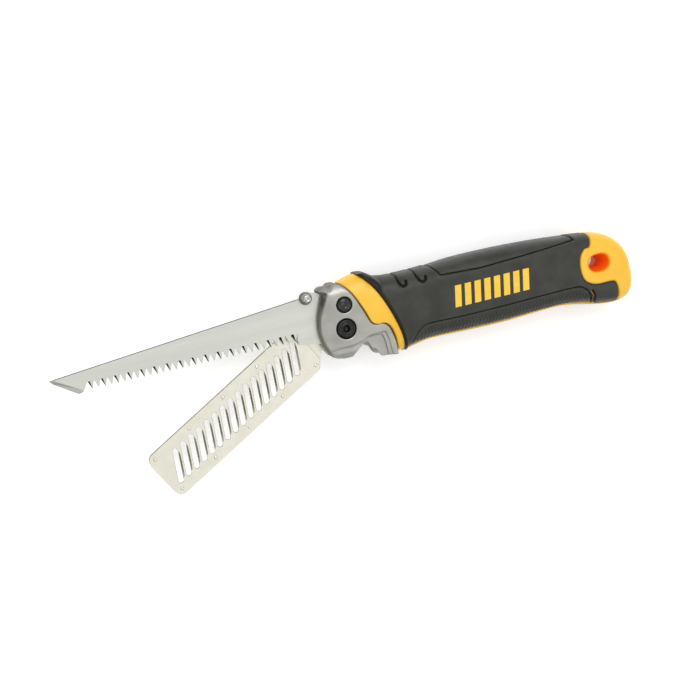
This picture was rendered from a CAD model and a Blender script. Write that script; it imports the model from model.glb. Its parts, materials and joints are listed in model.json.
import json
import math

import bpy
import numpy as np
from mathutils import Matrix, Vector
from mathutils.geometry import tessellate_polygon


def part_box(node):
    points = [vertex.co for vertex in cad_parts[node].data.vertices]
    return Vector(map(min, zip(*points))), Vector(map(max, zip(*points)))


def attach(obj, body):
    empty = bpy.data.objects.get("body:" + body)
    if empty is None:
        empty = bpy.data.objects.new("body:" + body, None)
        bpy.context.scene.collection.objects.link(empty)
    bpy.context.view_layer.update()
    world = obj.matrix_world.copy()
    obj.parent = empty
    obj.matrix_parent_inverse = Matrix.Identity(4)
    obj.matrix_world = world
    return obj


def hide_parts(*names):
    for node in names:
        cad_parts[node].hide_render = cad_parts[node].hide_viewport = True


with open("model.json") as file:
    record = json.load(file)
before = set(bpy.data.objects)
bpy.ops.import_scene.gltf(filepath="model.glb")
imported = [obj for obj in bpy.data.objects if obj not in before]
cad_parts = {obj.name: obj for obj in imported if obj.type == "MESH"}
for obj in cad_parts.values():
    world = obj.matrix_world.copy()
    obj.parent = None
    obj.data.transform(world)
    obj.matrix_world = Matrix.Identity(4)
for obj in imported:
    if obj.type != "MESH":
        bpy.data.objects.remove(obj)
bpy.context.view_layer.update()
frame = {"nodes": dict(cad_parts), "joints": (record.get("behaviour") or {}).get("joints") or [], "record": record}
print("frame loaded:", len(frame["nodes"]), "nodes")

# Shapes below are in millimetres from the pivot: x towards the handle's end, y towards the open
# saw's back, z out of the near side, with z = 0 on the plane that parts the two halves.
mm = 0.001
joints = {joint["name"]: joint for joint in frame["joints"]}
pivot = np.array(joints["saw_fold"]["pos_m"])
handleEnd = (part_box("core_near")[1][0] - pivot[0]) / mm
cheekTop = (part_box("head_near")[1][2] - pivot[2]) / mm
sawLow, sawHigh = [(corner[2] - pivot[2]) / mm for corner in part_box("saw_blade")]
backLow, backHigh = [(corner[2] - pivot[2]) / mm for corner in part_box("rasp_back_plate")]
frontLow, frontHigh = [(corner[2] - pivot[2]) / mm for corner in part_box("rasp_front_sheet")]


# small tools
def placeOf(node):
    low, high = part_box(node)
    return (np.array(low) + np.array(high)) / 2 / mm - pivot / mm


def addNode(tree, kind, settings=None, links=None):
    node = tree.nodes.new(kind)
    for key, value in (settings or {}).items():
        if isinstance(key, str) and hasattr(node, key):
            setattr(node, key, value)
        else:
            node.inputs[key].default_value = value
    for key, source in (links or {}).items():
        tree.links.new(source, node.inputs[key])
    return node


def meshOf(name, points, faces, smooth=True):
    mesh = bpy.data.meshes.new(name)
    faces = [list(map(int, face)) for face in faces]
    mesh.from_pydata(np.asarray(points, float).tolist(), [], faces)
    mesh.validate()
    mesh.polygons.foreach_set("use_smooth", [smooth] * len(mesh.polygons))
    mesh.update()
    return mesh


def pieceFrom(name, mesh):
    piece = bpy.data.objects.new(name, mesh)
    bpy.context.collection.objects.link(piece)
    return piece


def inFrame(points):
    # from millimetres about the pivot to the frame's metres
    return np.asarray(points, float) * mm + pivot


def solid(name, points, faces, smooth=True):
    return pieceFrom(name, meshOf(name, inFrame(points), faces, smooth))


def paint(piece, name, amount):
    # a value on every point, which a material can read by its name
    layer = piece.data.attributes.new(name, "FLOAT", "POINT")
    layer.data.foreach_set("value", amount.astype(np.float32))


def finishPiece(piece, body, material, stands=()):
    piece.data.materials.clear()
    piece.data.materials.append(material)
    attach(piece, body)
    if stands:
        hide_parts(*stands)
    print("piece:", piece.name, len(piece.data.polygons), "faces")


# curves and distances
def along(table, x):
    xs, values = np.array(table, float).T
    i = np.clip(np.searchsorted(xs, x) - 1, 0, len(xs) - 2)
    before = np.maximum(i - 1, 0)
    after = np.minimum(i + 2, len(xs) - 1)
    span = xs[i + 1] - xs[i]
    slope0 = (values[i + 1] - values[before]) / (xs[i + 1] - xs[before]) * span
    slope1 = (values[after] - values[i]) / (xs[after] - xs[i]) * span
    t = np.clip((x - xs[i]) / span, 0, 1)
    return ((2 * t**3 - 3 * t**2 + 1) * values[i] + (t**3 - 2 * t**2 + t) * slope0
            + (3 * t**2 - 2 * t**3) * values[i + 1] + (t**3 - t**2) * slope1)


def smoothPath(points, closed=False, steps=5):
    points = np.array(points, float)
    if closed:
        points = np.vstack([points[-1:], points, points[:2]])
    else:
        points = np.vstack([2 * points[0] - points[1], points, 2 * points[-1] - points[-2]])
    made = []
    for a, b, c, d in zip(points, points[1:], points[2:], points[3:]):
        for t in np.arange(steps) / steps:
            made.append(0.5 * (2 * b + (c - a) * t + (2 * a - 5 * b + 4 * c - d) * t**2
                               + (3 * b - 3 * c + d - a) * t**3))
    if not closed:
        made.append(points[-2])
    return np.array(made)


def awayFrom(path, x, y, closed=False):
    # distance to a path, and below 0 inside a closed one
    x, y = np.broadcast_arrays(x, y)
    nearest = np.full(x.shape, 1e9)
    crossings = np.zeros(x.shape, bool)
    ends = np.roll(path, -1, axis=0) if closed else path[1:]
    for (x0, y0), (x1, y1) in zip(path, ends):
        runX, runY = x1 - x0, y1 - y0
        t = np.clip(((x - x0) * runX + (y - y0) * runY) / (runX**2 + runY**2 + 1e-12), 0, 1)
        nearest = np.minimum(nearest, (x - x0 - t * runX)**2 + (y - y0 - t * runY)**2)
        if closed and y0 != y1:
            crossings ^= ((y0 > y) != (y1 > y)) & (x < x0 + (y - y0) * runX / runY)
    nearest = np.sqrt(nearest)
    return np.where(crossings, -nearest, nearest) if closed else nearest


def outlineAway(path, x, y):
    return awayFrom(path, x, y, closed=True)


def frontOf(boundary):
    # everything on the head's side of a boundary that runs from top to bottom
    path = smoothPath(boundary)
    corners = np.array([[path[-1][0], -60], [-60, -60], [-60, 60], [path[0][0], 60]])
    return np.vstack([path, corners])


def cut(a, b, radius=0.4):
    # where both fields are inside, with the edge between them rounded
    blend = np.maximum(radius - np.abs(a - b), 0) / radius
    return np.maximum(a, b) + blend**2 * radius / 4


def join(a, b, radius=0.4):
    return -cut(-a, -b, radius)


def stepped(low, high, value):
    t = np.clip((value - low) / (high - low), 0, 1)
    return t * t * (3 - 2 * t)


def skin(field, low, high, step):
    # the closed surface on which a field is 0, with its points moved onto it
    axes = [np.arange(a - step, b + 1.5 * step, step) for a, b in zip(low, high)]
    values = field(axes[0][:, None, None], axes[1][None, :, None], axes[2][None, None, :])
    values = np.ascontiguousarray(np.broadcast_to(values, [len(axis) for axis in axes]))
    inside = values < 0
    size = np.array(inside.shape)
    corners = [inside[i:size[0] - 1 + i, j:size[1] - 1 + j, k:size[2] - 1 + k]
               for i in (0, 1) for j in (0, 1) for k in (0, 1)]
    held = sum(corner.astype(np.int8) for corner in corners)
    mixed = (held > 0) & (held < 8)
    cells = np.argwhere(mixed)
    index = np.full(mixed.shape, -1)
    index[mixed] = np.arange(len(cells))
    total = np.zeros((len(cells), 3))
    number = np.zeros(len(cells))
    faces = []
    for axis in range(3):
        first, second = [other for other in range(3) if other != axis]
        for i in (0, 1):
            for j in (0, 1):
                start = cells.copy()
                start[:, first] += i
                start[:, second] += j
                end = start.copy()
                end[:, axis] += 1
                a, b = values[tuple(start.T)], values[tuple(end.T)]
                crossed = (a < 0) != (b < 0)
                spot = start[crossed].astype(float)
                spot[:, axis] += a[crossed] / (a[crossed] - b[crossed])
                total[crossed] += spot
                number[crossed] += 1
        near = [slice(None)] * 3
        far = [slice(None)] * 3
        near[axis], far[axis] = slice(0, -1), slice(1, None)
        change = inside[tuple(near)] != inside[tuple(far)]
        edges = np.argwhere(change)
        shape = np.array(index.shape)
        keep = (edges[:, first] > 0) & (edges[:, second] > 0)
        keep &= (edges[:, first] < shape[first]) & (edges[:, second] < shape[second])
        edges = edges[keep]
        quad = []
        for i, j in ((1, 1), (0, 1), (0, 0), (1, 0)):
            cell = edges.copy()
            cell[:, first] -= i
            cell[:, second] -= j
            quad.append(index[tuple(cell.T)])
        quad = np.stack(quad, 1)
        outward = inside[tuple(edges.T)] ^ (axis == 1)
        faces.append(np.where(outward[:, None], quad, quad[:, ::-1]))
    points = total / number[:, None] * step + [axis[0] for axis in axes]
    small, furthest = 0.03, 0.4 * step
    for _ in range(2):
        x, y, z = points.T
        value = field(x, y, z)
        slope = np.stack([field(x + small, y, z), field(x, y + small, z), field(x, y, z + small)], 1)
        slope = (slope - value[:, None]) / small
        move = value[:, None] * slope / ((slope**2).sum(1)[:, None] + 1e-6)
        length = np.sqrt((move**2).sum(1))[:, None]
        points = points - move * np.minimum(1, furthest / (length + 1e-9))
    return points, np.vstack(faces)


def sideSpan(side, reach):
    # how far one half of the tool goes in z, or both halves together when side is 0
    return (0 if side > 0 else -reach), (0 if side < 0 else reach)


def skinned(name, field, low, high, step):
    points, faces = skin(field, low, high, step)
    return solid(name, points, faces), points.T


# camera: the open saw points left and down, the handle climbs to the right
cameraLook = {
    "tiltTip": 13.3,        # degrees off the tool's normal, towards the saw's tip
    "tiltBack": 10,         # and towards the saw's back
    "roll": 11.7,           # how far the handle climbs to the right
    "distance": 0.72,       # metres
    "lens": 75.35,
    "aim": (1.8, -12.2),    # the point at the middle of the view, in millimetres from the pivot
}


def makeCamera(look):
    view = Vector((-math.tan(math.radians(look["tiltTip"])),
                   math.tan(math.radians(look["tiltBack"])), 1)).normalized()
    up = Vector((0, 1, 0))
    up = (up - up.dot(view) * view).normalized()
    right = up.cross(view)
    turn = math.radians(look["roll"])
    right, up = (math.cos(turn) * right - math.sin(turn) * up,
                 math.sin(turn) * right + math.cos(turn) * up)
    data = bpy.data.cameras.new("camera")
    data.lens = look["lens"]
    data.sensor_width = 36
    camera = bpy.data.objects.new("camera", data)
    bpy.context.collection.objects.link(camera)
    place = Vector(inFrame([*look["aim"], 0])) + view * look["distance"]
    camera.matrix_world = Matrix((
        (right.x, up.x, view.x, place.x), (right.y, up.y, view.y, place.y),
        (right.z, up.z, view.z, place.z), (0, 0, 0, 1)))
    bpy.context.scene.camera = camera


makeCamera(cameraLook)


# light: white sky that darkens to the horizon, a big softbox and two side panels
lightLook = {
    "sky": 0.86, "horizon": 0.2,
    "panels": [  # place, size, watts
        ((0.1, 0.75, 1.0), 0.7, 5.0),
        ((0.75, -0.5, 0.8), 0.6, 1.6),
        ((-0.9, -0.2, 0.6), 0.5, 0.8),
    ],
}


def makeLight(look):
    world = bpy.data.worlds.new("studio")
    bpy.context.scene.world = world
    world.use_nodes = True
    tree = world.node_tree
    tree.nodes.clear()
    place = addNode(tree, "ShaderNodeTexCoord")
    split = addNode(tree, "ShaderNodeSeparateXYZ", links={0: place.outputs["Generated"]})
    level = addNode(tree, "ShaderNodeMapRange",
                    {"From Min": 0.05, "From Max": 0.75,
                     "To Min": look["horizon"], "To Max": look["sky"]},
                    {"Value": split.outputs["Z"]})
    back = addNode(tree, "ShaderNodeBackground", {"Color": (1, 1, 1, 1)},
                   {"Strength": level.outputs["Result"]})
    addNode(tree, "ShaderNodeOutputWorld", links={"Surface": back.outputs[0]})
    for place, size, watts in look["panels"]:
        data = bpy.data.lights.new("softbox", "AREA")
        data.size = size
        data.energy = watts
        lamp = bpy.data.objects.new("softbox", data)
        lamp.location = place
        lamp.rotation_euler = (-Vector(place)).to_track_quat("-Z", "Y").to_euler()
        bpy.context.collection.objects.link(lamp)


makeLight(lightLook)
bpy.context.scene.view_settings.view_transform = "Standard"  # keeps the yellow as saturated as it is


# materials
def linear(code, alpha=1):
    # an sRGB hex colour as the linear value that shaders take
    values = [int(code[i:i + 2], 16) / 255 for i in (1, 3, 5)]
    return [v / 12.92 if v <= 0.04045 else ((v + 0.055) / 1.055)**2.4 for v in values] + [alpha]


def newMaterial(name):
    material = bpy.data.materials.new(name)
    material.use_nodes = True
    tree = material.node_tree
    tree.nodes.clear()
    place = addNode(tree, "ShaderNodeTexCoord").outputs["Object"]
    return material, tree, place


def closeMaterial(tree, shader):
    addNode(tree, "ShaderNodeOutputMaterial", links={"Surface": shader.outputs[0]})


def patches(tree, place, size, detail=2, stretch=(1, 1, 1)):
    # noise of a real size: one patch is about this many millimetres across
    spread = addNode(tree, "ShaderNodeMapping", {"Scale": stretch}, {"Vector": place})
    return addNode(tree, "ShaderNodeTexNoise", {"Scale": 1 / (size * mm), "Detail": detail},
                   {"Vector": spread.outputs[0]}).outputs["Fac"]


def blendColours(tree, factor, colours, places=(0.35, 0.65)):
    ramp = addNode(tree, "ShaderNodeValToRGB", links={"Fac": factor})
    for element, colour, position in zip(ramp.color_ramp.elements, colours, places):
        element.color = linear(colour)
        element.position = position
    return ramp.outputs["Color"]


noiseReach = {"From Min": 0.3, "From Max": 0.7}  # where nearly all of the noise lies


def yellowNylon():
    # glass filled nylon, moulded: even colour, soft broad gloss, very fine pebble from the mould
    material, tree, place = newMaterial("yellowMouldedNylon")
    colour = blendColours(tree, patches(tree, place, 22), ("#F5BC2C", "#F8C53C"))
    # the wall of the hang hole is a deeper orange, where light goes through the nylon
    bore = addNode(tree, "ShaderNodeAttribute", {"attribute_name": "bore"})
    colour = addNode(tree, "ShaderNodeMix", {"data_type": "RGBA", 7: linear("#FF7208")},
                     {0: bore.outputs["Fac"], 6: colour}).outputs[2]
    rough = addNode(tree, "ShaderNodeMapRange", {**noiseReach, "To Min": 0.36, "To Max": 0.44},
                    {"Value": patches(tree, place, 5)})
    bump = addNode(tree, "ShaderNodeBump", {"Strength": 0.25, "Distance": 0.04 * mm},
                   {"Height": patches(tree, place, 0.5, 3)})
    shader = addNode(tree, "ShaderNodeBsdfPrincipled",
                     {"IOR": 1.53, "Subsurface Weight": 0.12, "Subsurface Radius": (1, 0.5, 0.15),
                      "Subsurface Scale": 1.2 * mm},
                     {"Base Color": colour, "Roughness": rough.outputs[0], "Normal": bump.outputs[0]})
    closeMaterial(tree, shader)
    return material


def blackRubber():
    # thermoplastic rubber, moulded over the core: matte, faint bloom, fine spark-eroded grain
    material, tree, place = newMaterial("blackMouldedRubber")
    colour = blendColours(tree, patches(tree, place, 9, 4), ("#31322D", "#3C3D37"))
    # the bead at the front and the bottoms of the grooves are rubbed clean of bloom, and blacker
    clean = addNode(tree, "ShaderNodeAttribute", {"attribute_name": "clean"})
    colour = addNode(tree, "ShaderNodeMix", {"data_type": "RGBA", 7: linear("#0A0A09")},
                     {0: clean.outputs["Fac"], 6: colour}).outputs[2]
    rough = addNode(tree, "ShaderNodeMapRange", {**noiseReach, "To Min": 0.38, "To Max": 0.5},
                    {"Value": patches(tree, place, 4)})
    bump = addNode(tree, "ShaderNodeBump", {"Strength": 0.5, "Distance": 0.06 * mm},
                   {"Height": patches(tree, place, 0.45, 3)})
    shader = addNode(tree, "ShaderNodeBsdfPrincipled",
                     {"IOR": 1.5, "Specular IOR Level": 0.3, "Sheen Weight": 0.03,
                      "Sheen Roughness": 0.5},
                     {"Base Color": colour, "Roughness": rough.outputs[0], "Normal": bump.outputs[0]})
    closeMaterial(tree, shader)
    return material


def metal(name, colours, rough, patch, relief, grain, stretch=(1, 1, 1), wall=None):
    # patch and grain are the sizes of the colour's and the surface's unevenness, relief its depth
    material, tree, place = newMaterial(name)
    colour = blendColours(tree, patches(tree, place, patch, 3, stretch), colours)
    if wall:  # walls that stand up from the flat faces are sheared or cast, and duller than the faces
        wallColour, steep, level = wall
        normal = addNode(tree, "ShaderNodeTexCoord").outputs["Normal"]
        facing = addNode(tree, "ShaderNodeSeparateXYZ", links={0: normal})
        upright = addNode(tree, "ShaderNodeMath", {"operation": "ABSOLUTE"}, {0: facing.outputs["Z"]})
        dull = addNode(tree, "ShaderNodeMapRange",
                       {"From Min": steep, "From Max": level, "To Min": 1, "To Max": 0},
                       {"Value": upright.outputs[0]})
        colour = addNode(tree, "ShaderNodeMix", {"data_type": "RGBA", 7: linear(wallColour)},
                         {0: dull.outputs[0], 6: colour}).outputs[2]
    streaks = patches(tree, place, grain, 3, stretch)
    gloss = addNode(tree, "ShaderNodeMapRange", {**noiseReach, "To Min": rough[0], "To Max": rough[1]},
                    {"Value": streaks})
    bump = addNode(tree, "ShaderNodeBump", {"Strength": 0.4, "Distance": relief * mm},
                   {"Height": streaks})
    shader = addNode(tree, "ShaderNodeBsdfPrincipled", {"Metallic": 1},
                     {"Base Color": colour, "Roughness": gloss.outputs[0], "Normal": bump.outputs[0]})
    closeMaterial(tree, shader)
    return material


def plainGloss(name, colours, rough, ior):
    material, tree, place = newMaterial(name)
    cloud = patches(tree, place, 3, 3)
    gloss = addNode(tree, "ShaderNodeMapRange", {**noiseReach, "To Min": rough[0], "To Max": rough[1]},
                    {"Value": cloud})
    shader = addNode(tree, "ShaderNodeBsdfPrincipled", {"IOR": ior},
                     {"Base Color": blendColours(tree, cloud, colours), "Roughness": gloss.outputs[0]})
    closeMaterial(tree, shader)
    return material


def paperFloor():
    # matt white sheet of a light table: lit a little from below, so shadows on it stay pale
    material, tree, place = newMaterial("whitePaper")
    colour = blendColours(tree, patches(tree, place, 60), ("#F8F8F8", "#FCFCFC"))
    closeMaterial(tree, addNode(tree, "ShaderNodeBsdfPrincipled",
                                {"Roughness": 0.9, "Specular IOR Level": 0.1, "Emission Strength": 0.28,
                                 "Emission Color": (1, 1, 1, 1)}, {"Base Color": colour}))
    return material


yellow = yellowNylon()
rubber = blackRubber()
# zinc die casting, tumbled and bead blasted: grey, evenly frosted, softly mottled
castZinc = metal("blastedZincCasting", ("#A9A9A2", "#B6B6AF"), rough=(0.4, 0.5), patch=7,
                 relief=0.03, grain=0.5, wall=("#6C6C67", 0.2, 0.7))
# cold rolled spring steel, linished along the blade: pale, with streaks 0.15 mm apart that are
# drawn 0.4 mm wide to show
sawSteel = metal("linishedSpringSteel", ("#D6D7CE", "#E0E1D8"), rough=(0.26, 0.36), patch=9,
                 relief=0.004, grain=0.4, stretch=(0.04, 1, 1), wall=("#3E3D38", 0.62, 0.97))
# nickel plated sheet, stamped: brighter and warmer than the saw, slightly mottled
raspNickel = metal("nickelPlatedSheet", ("#F0EDDD", "#F7F4E6"), rough=(0.24, 0.3), patch=6,
                   relief=0.003, grain=0.8, wall=("#2E2C28", 0.3, 0.9))
# chrome plate over turned steel: bright, with a trace of the lathe in it
chromePlate = metal("chromePlate", ("#B4B5AF", "#C6C7C0"), rough=(0.2, 0.28), patch=2,
                    relief=0.001, grain=1, wall=("#5C5C50", 0.2, 0.8))
# black oxide on steel: near black with a dull metallic gloss, worn grey in spots
blackOxide = metal("blackOxideSteel", ("#2E2E2D", "#3C3C3A"), rough=(0.3, 0.42), patch=2,
                   relief=0.004, grain=0.5)
# hard drawn wire: grey, smooth, a little oily
wireSteel = metal("drawnSpringWire", ("#A8A8A4", "#B6B6B2"), rough=(0.25, 0.35), patch=1,
                  relief=0.002, grain=0.3)
# acetal from a polished mould: black, wet looking gloss
polishedAcetal = plainGloss("blackPolishedAcetal", ("#1E1F1C", "#282925"), rough=(0.08, 0.14), ior=1.5)
# pad print ink: a flat yellow film, a little duller than the nylon
yellowInk = plainGloss("yellowPadPrintInk", ("#F2C43A", "#F7CD4A"), rough=(0.42, 0.52), ior=1.5)
# unfilled nylon: milky, soft gloss
whiteNylon = plainGloss("naturalNylon", ("#DEDACB", "#E8E4D8"), rough=(0.45, 0.55), ior=1.53)
paper = paperFloor()
print("materials made")

slotMaterials = {
    "cast_metal": castZinc, "blade_steel": sawSteel, "rasp_steel": raspNickel, "chrome": chromePlate,
    "black_steel": blackOxide, "black_plastic": polishedAcetal, "yellow_plastic": yellow,
    "black_rubber": rubber, "yellow_print": yellowInk, "spring_steel": wireSteel, "nylon": whiteNylon,
}


# the handle's form, shared by the yellow core and the rubber over it
handleShape = {
    "top": [[-6, 21], [0, 22.2], [8, 24.3], [13, 24.6], [15.6, 23], [18, 22], [22, 20.8],
            [28, 20.1], [46, 20.2], [62, 21.3], [82, 21.3], [104, 20.4], [124, 18.7], [136, 17.2],
            [141.6, 15.4], [147.2, 11.6], [151.2, 6.4], [153.4, 0], [154, -6]],
    "bottom": [[-6, -18], [24, -18.2], [33, -16.7], [42, -15.4], [60, -15.9], [80, -16.3],
               [100, -15.6], [112, -15.4], [122, -16.8], [132, -19], [140, -20], [146.6, -19.6],
               [149.8, -18], [152.8, -13.5], [154, -8]],
    "half": [[-6, 10.8], [10, 11.4], [22, 12.3], [34, 13.7], [46, 14.4], [110, 14.4], [128, 13.8],
             [142, 12.4], [149, 10.2], [152.4, 7], [154, 3]],
    "power": 3,       # 2 is an ellipse, higher is boxier
    "flat": 13.95,    # the sides are flat where they would pass this
    "rubber": 2.3,
    "lip": 4.4,       # half the width of the bare core along the blade slot
    "slotHalf": 3.1,
    "slot": [[-30, -30], [-30, 9.6], [115, 9.6], [118, 6], [124, -2.6], [133, -2.6], [145, -9.5],
             [145, -30]],
    "hole": (134.1, 2.5), "holeRadii": (6.4, 4.7), "holePower": 2.4,
    "headRear": [[-1.5, 24], [2, 21.2], [6.4, 15.5], [10.6, 6.1], [12.7, 0.4], [15.5, -1.3],
                 [18.4, -1.3], [21.4, -3.6], [23.2, -9.6], [23.8, -19]],
    "gripFront": [[8.5, 26.5], [14.9, 19.8], [19, 12.9], [22.7, 3.9], [25.4, -5], [26.8, -11.9],
                  [27.6, -21]],
    "gripRear": [[136.4, 26], [131, 12.5], [127.2, 11], [124.3, 8], [123, 3.4], [123.4, -2.3],
                 [125.6, -5.8], [130.6, -7.9], [138, -8.1], [141, -9.2], [142.4, -14.3],
                 [142.8, -22]],
    "studSweep": (23.73, 3.9),  # radius of the ring that the thumb stud sweeps, and half its width
    "studRoom": (4.8, 2.6),     # middle of that ring's height, and half its height
    "studFrom": -12,            # the ring is cut only below this
}
slotOutline = np.array(handleShape["slot"])
headRear = frontOf(handleShape["headRear"])
gripFront = frontOf(handleShape["gripFront"])
gripRear = frontOf(handleShape["gripRear"])
halfGap = 0.1  # each half stops this far from the plane that parts them
buttonPlace = placeOf("lock_button")[:2]
screwPlaces = [placeOf(f"handle_screw_{i}")[:2] for i in (1, 2, 3, 4)]


def formRatio(x, y, z):
    top, bottom, half = (along(handleShape[key], x) for key in ("top", "bottom", "half"))
    across = np.abs(y - (top + bottom) / 2) * 2 / (top - bottom)
    power = handleShape["power"]
    return (across**power + np.abs(z / half)**power)**(1 / power)


def formAway(x, y, z):
    # about the distance from the handle's form, below 0 inside it
    small = 0.02
    ratio = formRatio(x, y, z)
    slope = sum((near - ratio)**2 for near in (formRatio(x + small, y, z), formRatio(x, y + small, z),
                                               formRatio(x, y, z + small)))
    form = (ratio - 1) * small / np.sqrt(slope + 1e-9)
    form = cut(form, np.abs(z) - handleShape["flat"], 1.2)
    return cut(form, x - handleEnd, 1.5)


def roundAway(x, y, centre, radius):
    return np.sqrt((x - centre[0])**2 + (y - centre[1])**2) - radius


def holeAway(x, y):
    (x0, y0), (a, b) = handleShape["hole"], handleShape["holeRadii"]
    power = handleShape["holePower"]
    return ((np.abs((x - x0) / a)**power + np.abs((y - y0) / b)**power)**(1 / power) - 1) * b


def studRoomAway(x, y, z):
    radius, half = handleShape["studSweep"]
    middle, tall = handleShape["studRoom"]
    ring = np.abs(np.sqrt(x**2 + y**2) - radius) - half
    lower = np.maximum(y - handleShape["studFrom"], -x)
    return np.maximum(np.maximum(ring, np.abs(z - middle) - tall), lower)


# yellow core, one half each side
coreLook = {
    "step": 0.45,
    "collarInset": 0.6,    # how far the collar lies under the rubber's face
    "collarUnder": 0.6,    # and how far it reaches under the rubber
    "capUnder": 0.3,
    "lipProud": 0.3, "lipTop": -8, "lipSpan": (26, 146),
    "headGap": 0.3,
    "holeRound": 1.8,
    "holeDraft": 2.3,      # how much narrower the hang hole is at the middle plane
    "screwRadius": 3.0, "screwFloor": -9,
    "low": (-2, -21), "high": (155.4, 25),
}
handleReach = 14.2  # the handle's halves stay within this in z


def coreField(side):
    look = coreLook

    def field(x, y, z):
        form = formAway(x, y, z)
        collarEnd = outlineAway(gripFront, x - look["collarUnder"], y)
        collar = cut(form + look["collarInset"], collarEnd, 0.5)
        cap = cut(form, -outlineAway(gripRear, x - look["capUnder"], y), 1.4)
        lips = cut(form - look["lipProud"], np.abs(z) - handleShape["lip"], 0.8)
        start, end = look["lipSpan"]
        lips = cut(lips, np.maximum(y - look["lipTop"], np.maximum(start - x, x - end)), 1)
        inner = form + handleShape["rubber"]
        core = join(join(inner, collar, 0.3), join(cap, lips, 0.6), 0.3)
        core = cut(core, -outlineAway(headRear, x - look["headGap"], y), 0.8)
        draft = look["holeDraft"] * (1 - np.abs(z) / 14)
        core = cut(core, -holeAway(x, y) - draft, look["holeRound"])
        room = np.maximum(outlineAway(slotOutline, x, y), np.abs(z) - handleShape["slotHalf"])
        core = cut(core, -room, 0.9)
        core = np.maximum(core, -studRoomAway(x, y, z))
        if side < 0:
            for place in screwPlaces:
                well = roundAway(x, y, place, look["screwRadius"])
                core = cut(core, -np.maximum(well, z - look["screwFloor"]), 0.3)
        return np.maximum(core, halfGap - side * z)

    return field


def makeCore(side, name, node):
    low, high = sideSpan(side, handleReach)
    piece, (x, y, z) = skinned(name, coreField(side), (*coreLook["low"], low),
                               (*coreLook["high"], high), coreLook["step"])
    # the wall of the hang hole: inside the form, and near the hole
    depth = stepped(0.2, 3.2, -formAway(x, y, z))
    paint(piece, "bore", depth * (1 - stepped(0.2, 0.8, holeAway(x, y))))
    finishPiece(piece, "handle", yellow, [node])


makeCore(1, "yellowCoreNear", "core_near")
makeCore(-1, "yellowCoreFar", "core_far")

# rubber grip, with the panels let into it
gripLook = {
    "step": 0.42,
    "low": (7, -21), "high": (144, 25.4), "topCut": 24.5,
    "beadProud": 0.7, "beadWide": 0.8,
    "beadTop": (0.5, 1.2),  # more proud and wider at the top, by this much
    "beadRise": (13, 19),   # which starts and ends between these
    "frontRound": 0.7, "rearRound": 1.2,
    "grooveDeep": 1.4, "grooveWide": 0.95,
    "fingerGrooves": [[[29.8, 26], [29.8, 19.6], [29.8, 17], [30.4, 14.9], [31.7, 13.9],
                       [33.2, 14.6], [33.6, 16.1]],
                      [[39.2, 26], [39.2, 19.6], [39.3, 17], [40.2, 14.9], [41.7, 14],
                       [43.2, 14.8], [43.6, 16.1]]],
    "padGrooveDeep": 2.6, "padGrooveWide": 0.9,
    "padGroove": [[127.6, -10.5], [129.3, -14.5], [129.8, -22]],
    "panelGap": 0.3, "panelRound": 0.9,
    "ledge": 0.9,           # the panels reach under the grip by this, so no core shows between
    "ledgeSink": 1.25,
    "screwRadius": 3.0,
    "topPanel": [[46.8, 26], [47.6, 20.6], [51.2, 15.2], [71.8, 14.2], [93, 15], [123.4, 16.3],
                 [119.5, 26]],
    "ribPanel": [[34, -23], [30.9, -16.2], [33, -11.6], [36, -8.4], [41, -6.7], [57, -7.2],
                 [78, -7.2], [100, -6.9], [118, -6.8], [123, -8], [126.3, -11.6], [128.4, -19.5],
                 [128, -23]],
    "panelBottom": -20.6, "panelTop": 22.4,
}
fingerGrooves = [smoothPath(path) for path in gripLook["fingerGrooves"]]
padGroove = smoothPath(gripLook["padGroove"])
topPanel = np.array(gripLook["topPanel"])
ribPanel = smoothPath(gripLook["ribPanel"], closed=True, steps=3)


def rubberAway(x, y, z, sink):
    # the layer of rubber over the core, bare along the blade slot
    form = formAway(x, y, z)
    layer = np.maximum(form + sink, -(form + handleShape["rubber"] - 0.25))
    lips = np.maximum(np.abs(z) - handleShape["lip"] - 0.3, y - coreLook["lipTop"])
    return cut(layer, -lips, 1.2)


def beadSize(y):
    atTop = stepped(*gripLook["beadRise"], y)
    proud, wide = gripLook["beadTop"]
    return gripLook["beadProud"] + proud * atTop, gripLook["beadWide"] + wide * atTop


def gripField(side):
    look = gripLook

    def field(x, y, z):
        front = -outlineAway(gripFront, x, y)
        proud, wide = beadSize(y)
        sink = -proud * np.exp(-((front + wide + 0.1) / wide)**4)
        for groove in fingerGrooves:
            bottom = 1 - stepped(0, look["grooveWide"], awayFrom(groove, x, y))
            sink = sink + look["grooveDeep"] * bottom
        bottom = 1 - stepped(0, look["padGrooveWide"], awayFrom(padGroove, x, y))
        sink = sink + look["padGrooveDeep"] * bottom
        grip = rubberAway(x, y, z, sink)
        grip = cut(cut(grip, front, look["frontRound"]), outlineAway(gripRear, x, y), look["rearRound"])
        under = formAway(x, y, z) + look["ledgeSink"] - halfGap
        for panel in (topPanel, ribPanel):
            edge = outlineAway(panel, x, y)
            grip = cut(grip, look["panelGap"] - edge, look["panelRound"])
            grip = np.maximum(grip, -np.maximum(edge - look["ledge"] - halfGap, under))
        grip = cut(grip, y - look["topCut"], 0.6)
        if side < 0:
            for place in screwPlaces:
                grip = cut(grip, -roundAway(x, y, place, look["screwRadius"]), 0.6)
        return np.maximum(grip, halfGap - side * z)

    return field


def makeGrip(side, name, node):
    low, high = sideSpan(side, handleReach)
    piece, (x, y, z) = skinned(name, gripField(side), (*gripLook["low"], low),
                               (*gripLook["high"], high), gripLook["step"])
    wide = beadSize(y)[1]
    bead = 1 - stepped(2 * wide - 0.5, 2 * wide + 0.2, outlineAway(gripFront, x, y))
    paint(piece, "clean", np.maximum(bead, stepped(0.35, 1.1, -formAway(x, y, z))))
    finishPiece(piece, "handle", rubber, [node])


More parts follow.
